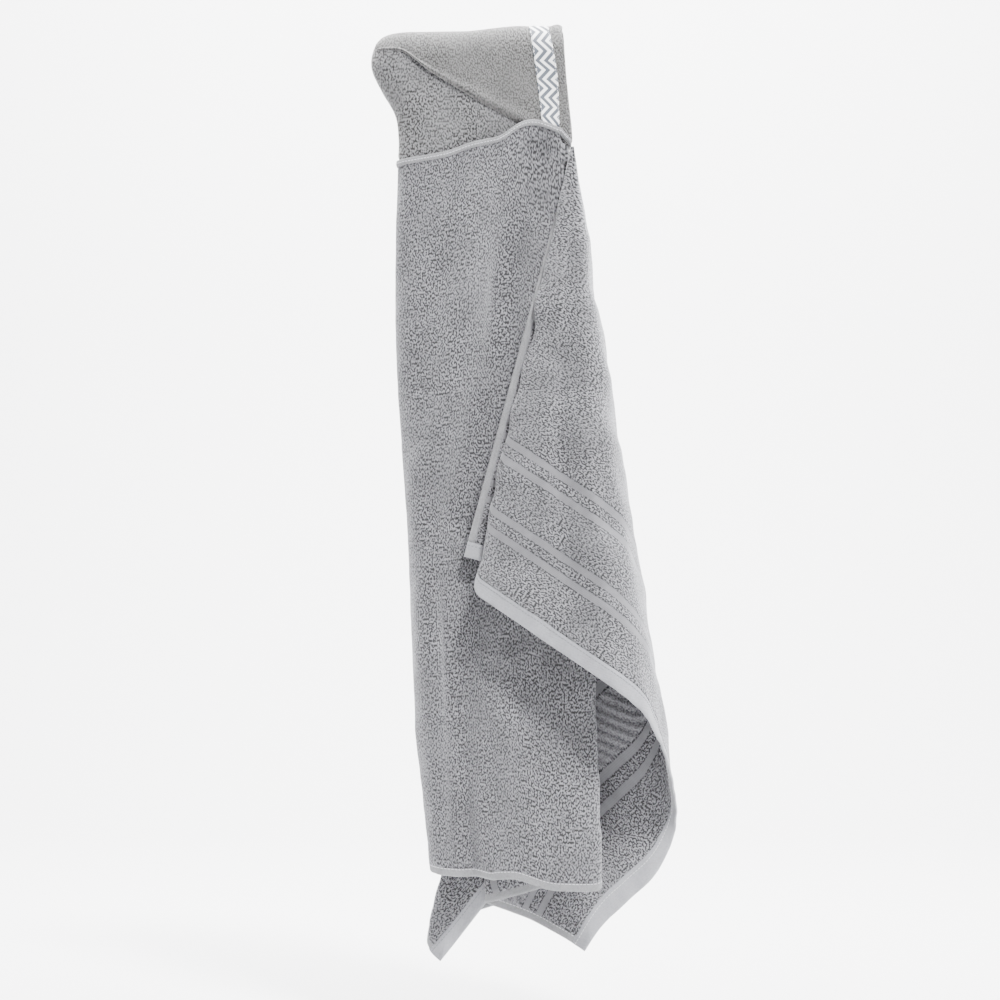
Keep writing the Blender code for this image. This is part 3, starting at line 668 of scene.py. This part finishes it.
def ribbon_print():
    """Grosgrain ribbon with a printed zigzag."""
    n = Nodes("ribbon_look")
    x, y = n.flat()
    swing = n.mul(n.math("PINGPONG", y, ZIGZAG_PERIOD / 2), ZIGZAG_SWING / (ZIGZAG_PERIOD / 2))
    place = n.math("MODULO", n.add(n.sub(x, swing), 5 * ZIGZAG_STEP + 1.2), ZIGZAG_STEP)
    line = n.band(place, 2.0, 2.0 + ZIGZAG_LINE, 0.22)
    ribs = n.sine(y, 0.75)
    fine = n.noise(n.vector(x, y), 0.9, 3.0, 0.6)
    edge = n.band(x, 0.55, RIBBON_WIDTH - 0.55, 0.2)
    height = n.add(n.mul(ribs, 0.09), n.mul(fine, 0.15))
    height = n.add(height, n.mul(edge, -0.12))
    n.bump(height, BUMP_UNIT, 0.5)
    color = n.mix(line, RIBBON_WHITE, RIBBON_GREY)
    shade = n.add(0.93, n.mul(fine, 0.12))
    return n.finish(n.tint(color, shade), 0.55, 0.1, 0.4)


def thread_look(name, color):
    """Sewing thread with its twist."""
    n = Nodes(name)
    place = n.tree.nodes.new("ShaderNodeTexCoord").outputs["Object"]
    twist = n.noise(place, 1400.0, 2.0, 0.5)
    n.bump(twist, 0.0004, 0.4)
    return n.finish(n.tint(color, n.add(0.85, n.mul(twist, 0.3))), 0.6, 0.2, 0.4)


SHEEN = 0.35
TERRY_COLOR = (0.149, 0.148, 0.159)
HOOD_COLOR = (0.104, 0.104, 0.108)
# the hood panel's terry, darkened below the body's with painted shade against the light that falls on the
# hood's top
PANEL_COLOR_WITH_PAINTED_SHADE = (0.100, 0.099, 0.099)
HEM_COLOR = (0.262, 0.265, 0.284)
NARROW_COLOR = (0.190, 0.191, 0.199)
RIBBON_WHITE = (0.86, 0.86, 0.87)
RIBBON_GREY = (0.085, 0.095, 0.115)
ZIGZAG_PERIOD, ZIGZAG_SWING, ZIGZAG_STEP, ZIGZAG_LINE = 19.0, 11.0, 9.9, 5.2
RIBBON_WIDTH = 24.0

towel_look = towel_terry()
body_look = hood_terry("hood_terry_look", HOOD_COLOR, BODY_PITCH, 0.0, 1.45, 1.1)
panel_look = hood_terry("hood_panel_look", PANEL_COLOR_WITH_PAINTED_SHADE, PANEL_PITCH, 0.3, 0.9, 0.7)
hem_look = hem_weave("wide_hem_look", HEM_COLOR, 0.0)
narrow_look = hem_weave("narrow_hem_look", NARROW_COLOR, 0.6)
ribbon_look = ribbon_print()
hem_thread_look = thread_look("hem_thread_look", (0.17, 0.17, 0.19))
pale_thread_look = thread_look("pale_thread_look", (0.50, 0.50, 0.53))


def piece(obj, slot, *nodes):
    """The object as a piece of the one body, in place of the CAD nodes named."""
    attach(obj, "root")
    if nodes:
        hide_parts(*nodes)
    return obj


# ---------------------------------------------------------------- the towel

def cone_angles(table, per_row):
    """Angles in the flat cloth, closer together at the folds, from below the neck to the lapel's edge."""
    share = np.linspace(0, 1, per_row * (len(table) - 1) + 1)
    fine = np.linspace(0, 1, 60 * len(table))
    walked = walked_length(section_of(spline(table, fine)))
    angles = 90 * (1 - np.interp(share, fine, walked / walked[-1]))
    corner = math.degrees(math.atan((FREE - END_HEM) / (WIDTH - EDGE_HEM)))
    angles[np.abs(angles - corner).argmin()] = corner
    return angles[::-1]


def towel_places(side, rows, back_columns, per_row):
    """Flat places of the cloth between the hems: rows down, and columns from the centre back."""
    angles = cone_angles(CONES[side], per_row)[1:]
    neck = np.linspace(0, NECK_ARC, back_columns)
    height, width = WIDTH - EDGE_HEM, FREE - END_HEM
    along, drop = [], []
    for v in np.linspace(FIRST_ROW, 1, rows):
        rad = np.radians(np.clip(angles, 0.01, 89.99))
        ray = v * np.minimum(height / np.cos(rad), width / np.sin(rad))
        # the last rays turn down a little, to leave room for the lapel's hem
        widest = 90 - np.degrees(np.minimum(EDGE_HEM, HEM_TAPER * ray) / ray)
        spread = HEM_TURN + (angles - HEM_TURN) * (widest - HEM_TURN) / (90 - HEM_TURN)
        rad = np.radians(np.where(angles > HEM_TURN, spread, angles))
        ray = v * np.minimum(height / np.cos(rad), width / np.sin(rad))
        along.append(np.concatenate([neck, NECK_ARC + ray * np.sin(rad)]))
        below = NECK_GAP + (v - FIRST_ROW) / (1 - FIRST_ROW) * (height - NECK_GAP)
        drop.append(np.concatenate([np.full(back_columns, below), ray * np.cos(rad)]))
    return np.array(along), np.array(drop)


def towel_cloth():
    """One cloth from lapel to lapel: the far half's columns turned round, then the near half's."""
    grids = []
    for half in SIDES:
        along, drop = towel_places(half, ROWS, BACK_COLUMNS, PER_ROW)
        grids.append((SIDES[half] * along, drop, *draped(half, along, drop)))
    near, far = grids
    along, drop, point, normal = (np.concatenate([b[:, :0:-1], a], axis=1) for a, b in zip(near, far))
    uv = np.stack([along, drop], axis=-1) * MM
    cloth = sheet("towel_cloth", point, normal, TERRY / 2, TERRY / 2, towel_look, uv)
    parts = ("back_panel", "inner_pleat", "outer_pleat", "front_lapel")
    return piece(cloth, "towel_terry", *[f"towel_{half}_{part}" for half in SIDES for part in parts])


ROWS, BACK_COLUMNS, PER_ROW = ((168, 62, 6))
FIRST_ROW, NECK_GAP = 0.012, 0.3
HEM_TURN, HEM_TAPER = 80.5, 0.12  # degrees from which the rays turn, and the lapel hem's taper at the neck

towel = towel_cloth()


# ---------------------------------------------------------------- hems and their stitching

END_ROWS, EDGE_ROWS, BAND_ROWS = 9, 7, 9
HEM_LAP = 0.8  # the hem starts this far inside the cloth's edge
BAND_HALF, BAND_BULGE = 3.1, 0.9  # the neck band's half width, and how far it stands out
SEAM_LIFT = TERRY / 2 + 0.35
SEAM_PAST = 12  # the neck band runs on past the neck corner
STITCH_FACE = HEM_THICK / 2 - 0.1


def hem_strip(name, side, along, drop, node, look):
    """A turned hem: rows run across it, from the cloth to its folded edge, which is thinner."""
    point, normal = draped(side, along, drop)
    across = np.linspace(0, 1, along.shape[0])
    fold = np.clip((across - 0.8) / 0.2, 0, 1)
    thick = HEM_THICK / 2 * np.sqrt(np.clip(1 - fold**2 * 0.9, 0.1, 1))
    thick = thick * (0.86 + 0.14 * smooth(across / 0.12))
    uv = np.stack([SIDES[side] * along, drop], axis=-1) * MM
    obj = sheet(name, point, normal, thick[:, None], thick[:, None], look, uv)
    return piece(obj, "hem_weave", node), point, normal


def strip_places(outer, inner, count):
    share = np.linspace(0, 1, count)[:, None]
    return inner * (1 - share) + outer * share


def end_hem(half):
    """The wide hem down the short edge, with a row of stitches on each face."""
    angles = cone_angles(CONES[half], PER_ROW)
    turned = angles[(angles > CORNER_DEG + 0.12) & (angles < 89.4)]
    down = np.concatenate([[WIDTH], FREE / np.tan(np.radians(turned)), [0.4]])
    inner_down = down * (1 - END_HEM / FREE)
    inner_down[0], inner_down[-1] = WIDTH, 0.4
    drop = strip_places(down, inner_down, END_ROWS)
    along = HALF_LENGTH - np.linspace(END_HEM + HEM_LAP, 0, END_ROWS)[:, None] + 0 * drop
    name = f"{half}_end_hem"
    hem, point, normal = hem_strip(f"{name}_band", half, along, drop, name, hem_look)
    path, up = point[2], normal[2]
    inner = stitches(f"{name}_inner_stitches", path - up * STITCH_FACE, -up, hem_thread_look)
    piece(inner, "thread", f"{name}_thread")
    outer = stitches(f"{name}_outer_stitches", path + up * STITCH_FACE, up, pale_thread_look)
    return [hem, inner, piece(outer, "thread")]


def lapel_hem(half):
    """The narrow hem along the lapel's top edge, tapering to the neck corner."""
    out = np.linspace(NECK_ARC + 4, HALF_LENGTH - END_HEM, 110)
    width = np.minimum(EDGE_HEM, HEM_TAPER * (out - NECK_ARC))
    drop = strip_places(0 * out + 0.3, width + 0.4, EDGE_ROWS)
    along = out + 0 * drop
    name = f"{half}_lapel_hem"
    hem, point, normal = hem_strip(f"{name}_band", half, along, drop, name, narrow_look)
    path = point[1] - normal[1] * STITCH_FACE
    thread = stitches(f"{name}_stitches", path[12:], -normal[1][12:], hem_thread_look)
    return [hem, piece(thread, "thread", f"{name}_thread")]


def bottom_hem(half):
    """The narrow hem along the bottom edge, from the centre back to the end hem."""
    angles = cone_angles(CONES[half], PER_ROW)
    corner = math.degrees(math.atan((FREE - END_HEM) / WIDTH))
    low = np.concatenate([angles[(angles > 0.05) & (angles < corner - 0.1)], [corner]])
    neck = np.linspace(0.0, NECK_ARC, BACK_COLUMNS)
    levels = WIDTH - np.linspace(EDGE_HEM + 0.5, 0, EDGE_ROWS)
    along = np.array([np.concatenate([neck, NECK_ARC + t * np.tan(np.radians(low))]) for t in levels])
    along[:, -1] = HALF_LENGTH - END_HEM
    drop = levels[:, None] + 0 * along
    name = f"{half}_bottom_hem"
    hem, point, normal = hem_strip(f"{name}_band", half, along, drop, name, narrow_look)
    path = point[1] + normal[1] * STITCH_FACE
    thread = stitches(f"{name}_stitches", path, normal[1], pale_thread_look)
    return [hem, piece(thread, "thread", f"{name}_thread")]


def neck_band(half):
    """The seam allowance of the hood, laid over the towel's top edge."""
    places = np.linspace(0.5, NECK_ARC + SEAM_PAST, 90)
    top, out_dir = draped(half, np.minimum(places, NECK_ARC), np.full(len(places), 0.6))
    past = np.clip(places - NECK_ARC, 0, None)[:, None]
    top = top + past * np.array([0.85, 0.0, -0.95])
    out_dir[..., 2] = 0
    out_dir /= np.linalg.norm(out_dir, axis=-1, keepdims=True)
    heights = np.linspace(BAND_HALF, -BAND_HALF, BAND_ROWS)
    point = top[None] + heights[:, None, None] * np.array([0, 0, 1.0])
    normal = np.broadcast_to(out_dir[None], point.shape)
    bulge = BAND_BULGE * np.sqrt(np.clip(1 - (heights / (BAND_HALF + 0.1)) ** 2, 0, 1))[:, None]
    wobble = 0.18 * np.sin(places / 3.1) * np.sin(places / 7.7)
    uv = np.stack(np.broadcast_arrays(SIDES[half] * places[None, :], heights[:, None]), axis=-1) * MM
    above = SEAM_LIFT + 0.3 + bulge + wobble
    band = sheet(f"{half}_neck_seam_band", point, normal, above, 0.2, narrow_look, uv)
    middle = BAND_ROWS // 2
    path = (point + normal * (above - 0.05)[..., None])[middle]
    thread = stitches(f"{half}_neck_stitches", path, normal[middle], pale_thread_look, length=2.6)
    return [piece(band, "hem_weave", f"{half}_neck_band"), piece(thread, "thread", f"{half}_neck_thread")]


soft_trim = []
for half in SIDES:
    soft_trim += end_hem(half) + lapel_hem(half) + bottom_hem(half) + neck_band(half)


# ---------------------------------------------------------------- the hood

HOOD_SHELL = 2.9
HOOD_COLUMNS, HOOD_ROWS = ((130, 46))
FIRST_COLUMN, LAST_COLUMN = 0.012, 0.985  # the grid stops short of the fold's two sharp ends


def fold_distance(x, z):
    """Distance in profile to the hood's fold."""
    line = spline(HOOD_FOLD, np.linspace(0, 1, 160))
    best = np.full(x.shape, 1e9)
    for p, q in zip(line[:-1], line[1:]):
        run = q - p
        t = np.clip(((x - p[0]) * run[0] + (z - p[1]) * run[1]) / (run**2).sum(), 0, 1)
        best = np.minimum(best, np.hypot(x - p[0] - t * run[0], z - p[1] - t * run[1]))
    return best


def hood_surface(x, z, side):
    """The pouch's surface over a place in profile, on the near (1) or far (-1) side."""
    share = np.clip(fold_distance(x, z) / HOOD_ROUND, 0, 1)
    lump = 0.6 * np.sin(x / 17 + 0.7) * np.sin(z / 21 + 1.1) + 0.35 * np.sin(x / 9 + z / 13)
    depth = HOOD_DEPTH * np.sqrt(1 - (1 - share) ** 2) + lump * share
    return np.stack([x, -side * depth, z], axis=-1)


def lens(fold, rim):
    """A grid over both sides of the hood, from the far rim round the fold to the near rim."""
    u = np.linspace(FIRST_COLUMN, LAST_COLUMN, HOOD_COLUMNS)
    inner, outer = by_length(fold, u), by_length(rim, u)
    v = np.linspace(-1, 1, 2 * HOOD_ROWS + 1)
    place = inner[:, None] + (outer - inner)[:, None] * (np.abs(v) ** 1.7)[:, None]
    x, z = place[..., 0], place[..., 1]
    return hood_surface(x, z, np.sign(v)[None, :] * np.ones_like(x))


def grid_normals(grid):
    """Unit normals of a grid round the hood, away from its middle plane."""
    normal = unit(np.cross(np.gradient(grid, axis=0), np.gradient(grid, axis=1)))
    return normal * (1.0 if (normal[..., 1] * grid[..., 1]).sum() > 0 else -1.0)


def hood_piece(name, grid, low, high, look, node):
    """A layer of the hood between two heights over its middle surface."""
    normal = grid_normals(grid)
    middle, half_thick = (low + high) / 2, (high - low) / 2
    point = grid + normal * np.asarray(middle)[..., None]
    obj = sheet(name, point, normal, half_thick, half_thick, look, grid[..., [0, 2]] * MM)
    return piece(obj, "hood_terry", node)


def hood_body_cloth():
    grid = lens(HOOD_FOLD, HOOD_OPEN)
    return hood_piece("hood_body_cloth", grid, -HOOD_SHELL / 2, HOOD_SHELL / 2, body_look, "hood_body")


def hood_panel_cloth():
    """The front layer, folded back: thin on the knob, with a thick rolled edge along its diagonal."""
    grid = lens(HOOD_FOLD[5:], PANEL_DIAGONAL + HOOD_OPEN[8:])
    v = np.abs(np.linspace(-1, 1, 2 * HOOD_ROWS + 1))
    u = np.linspace(0, 1, HOOD_COLUMNS)
    rim_fall = np.clip((v - 0.94) / 0.06, 0, 1)[None, :] * np.ones((HOOD_COLUMNS, 1))
    rolled = np.exp(-(((v - 0.93) / 0.05) ** 2))[None, :] * smooth((0.62 - u) / 0.08)[:, None]
    knob = (0.25 + 0.75 * smooth(u / 0.16))[:, None]
    low = HOOD_SHELL / 2 + 0.1 + 0 * rim_fall
    thick = knob * (1.9 + 2.0 * rolled) * np.sqrt(np.clip(1 - 0.97 * rim_fall**2, 0, 1))
    high = HOOD_SHELL / 2 + 0.3 + thick
    return hood_piece("hood_panel_cloth", grid, low, high, panel_look, "hood_front_panel")


def ribbon_grid(share):
    """A grid on the hood under the ribbon: shares of its width, and round from the far side to the near."""
    v = np.linspace(-1, 1, 2 * RIBBON_ROWS + 1)
    along = np.abs(v) ** 1.3
    back, front = by_length(RIBBON_BACK, along), by_length(RIBBON_FRONT, along)
    share = np.atleast_1d(share)[:, None]
    x = back[None, :, 0] * (1 - share) + front[None, :, 0] * share
    z = back[None, :, 1] * (1 - share) + front[None, :, 1] * share
    top = np.interp(x, *zip(*sorted(HOOD_FOLD[8:])))
    z = np.where(along[None, :] < 1e-9, top, np.minimum(z, top - 0.2))
    return hood_surface(x, z, np.sign(v)[None, :] * np.ones_like(x))


RIBBON_ROWS = 70
RIBBON_LIFT = HOOD_SHELL / 2 + 2.75
RIBBON_HALF = 0.45
PRINT_START = 300.0  # keeps the print's place positive all along the ribbon


def chevron_ribbon():
    share = np.linspace(0, 1, 17)
    point = ribbon_grid(share)
    normal = grid_normals(point)
    walked = walked_length(point[len(share) // 2])
    walked -= walked[len(walked) // 2]
    flutter = 0.15 * np.sin(walked / 5.0)[None, :] * (2 * np.abs(share - 0.5))[:, None] ** 3
    places = np.broadcast_arrays(share[:, None] * RIBBON_WIDTH, walked[None, :] + PRINT_START)
    raised = point + normal * (RIBBON_LIFT + flutter)[..., None]
    uv = np.stack(places, axis=-1) * MM
    obj = sheet("chevron_ribbon", raised, normal, RIBBON_HALF, RIBBON_HALF, ribbon_look, uv)
    return piece(obj, "ribbon", "ribbon_trim")


def ribbon_stitches(word, column):
    grid = ribbon_grid(np.array([column - 0.04, column, column + 0.04]))
    normal = grid_normals(grid)
    path = (grid + normal * (RIBBON_LIFT + 0.4))[1]
    name = f"ribbon_{word}_stitches"
    obj = stitches(name, path, normal[1], pale_thread_look, length=2.4, gap=0.6, radius=0.3)
    return piece(obj, "thread", f"ribbon_{word}_thread")


hood_body = hood_body_cloth()
hood_panel = hood_panel_cloth()
ribbon = chevron_ribbon()
ribbon_stitches("back", 0.055)
ribbon_stitches("front", 0.945)


# ---------------------------------------------------------------- the stage

FLOOR, BACK, BEND, REACH, TOP = -1020.0, 1900.0, 900.0, 4500.0, 3200.0  # the backdrop, in millimetres


def stage_backdrop():
    """A pale floor that curves up into a back wall."""
    n = Nodes("backdrop_look")
    place = n.tree.nodes.new("ShaderNodeTexCoord").outputs["Object"]
    soft = n.noise(place, 0.6, 1.0, 0.5)
    n.finish(n.tint((0.86, 0.86, 0.865), n.add(0.985, n.mul(soft, 0.03))), 0.9)
    turns = np.linspace(0, math.pi / 2, 24)
    profile = [(-REACH, FLOOR)]
    profile += [(BACK + BEND * math.sin(a), FLOOR + BEND * (1 - math.cos(a))) for a in turns]
    profile.append((BACK + BEND, TOP))
    grid = np.array([[(x, y, z) for y, z in profile] for x in (-REACH, REACH)])
    rows, cols = grid.shape[:2]
    i, j = np.meshgrid(np.arange(rows - 1), np.arange(cols - 1), indexing="ij")
    a = (i * cols + j).ravel()
    faces = np.column_stack([a, a + cols, a + cols + 1, a + 1])
    add_mesh("studio_backdrop", grid.reshape(-1, 3), faces, n.material)


def area_light(name, place, aim, size, power):
    """A soft round light at a place in metres, turned to what it lights."""
    data = bpy.data.lights.new(name, "AREA")
    data.shape, data.size, data.energy = "DISK", size, power
    obj = bpy.data.objects.new(name, data)
    obj.location = place
    direction = mathutils.Vector(aim) - mathutils.Vector(place)
    obj.rotation_euler = direction.to_track_quat("-Z", "Y").to_euler()
    bpy.context.scene.collection.objects.link(obj)


stage_backdrop()
area_light("key", (0.9, -1.8, 2.2), (0, 0, -0.45), 0.6, 350)
area_light("high_fill", (-1.3, -2.3, 1.5), (0, 0, -0.5), 1.2, 18)
area_light("right_wash", (2.3, -0.3, -0.2), (0.05, 0, -0.5), 1.2, 66)
area_light("left_rim", (-2.1, 0.5, -0.2), (0, 0, -0.5), 1.4, 42)
area_light("backdrop_wash", (0.0, 0.7, 1.6), (0, 2.7, -0.6), 2.4, 540)

world = bpy.data.worlds.new("studio_world")
bpy.context.scene.world = world
world.use_nodes = True
world.node_tree.nodes["Background"].inputs["Color"].default_value = (1, 1, 1, 1)
world.node_tree.nodes["Background"].inputs["Strength"].default_value = 0.07

FRAME_WIDTH, CAMERA_DISTANCE, SENSOR = 1.0, 3.2, 36.0  # metres at the towel, metres, millimetres
camera_data = bpy.data.cameras.new("camera")
camera_data.sensor_width = SENSOR
camera_data.lens = SENSOR * CAMERA_DISTANCE / FRAME_WIDTH
camera = bpy.data.objects.new("camera", camera_data)
camera.location = (-0.020, -0.045 - CAMERA_DISTANCE, -0.478)
camera.rotation_euler = (math.pi / 2, 0, 0)
bpy.context.scene.collection.objects.link(camera)
bpy.context.scene.camera = camera


# ---------------------------------------------------------------- finish

bpy.context.view_layer.update()
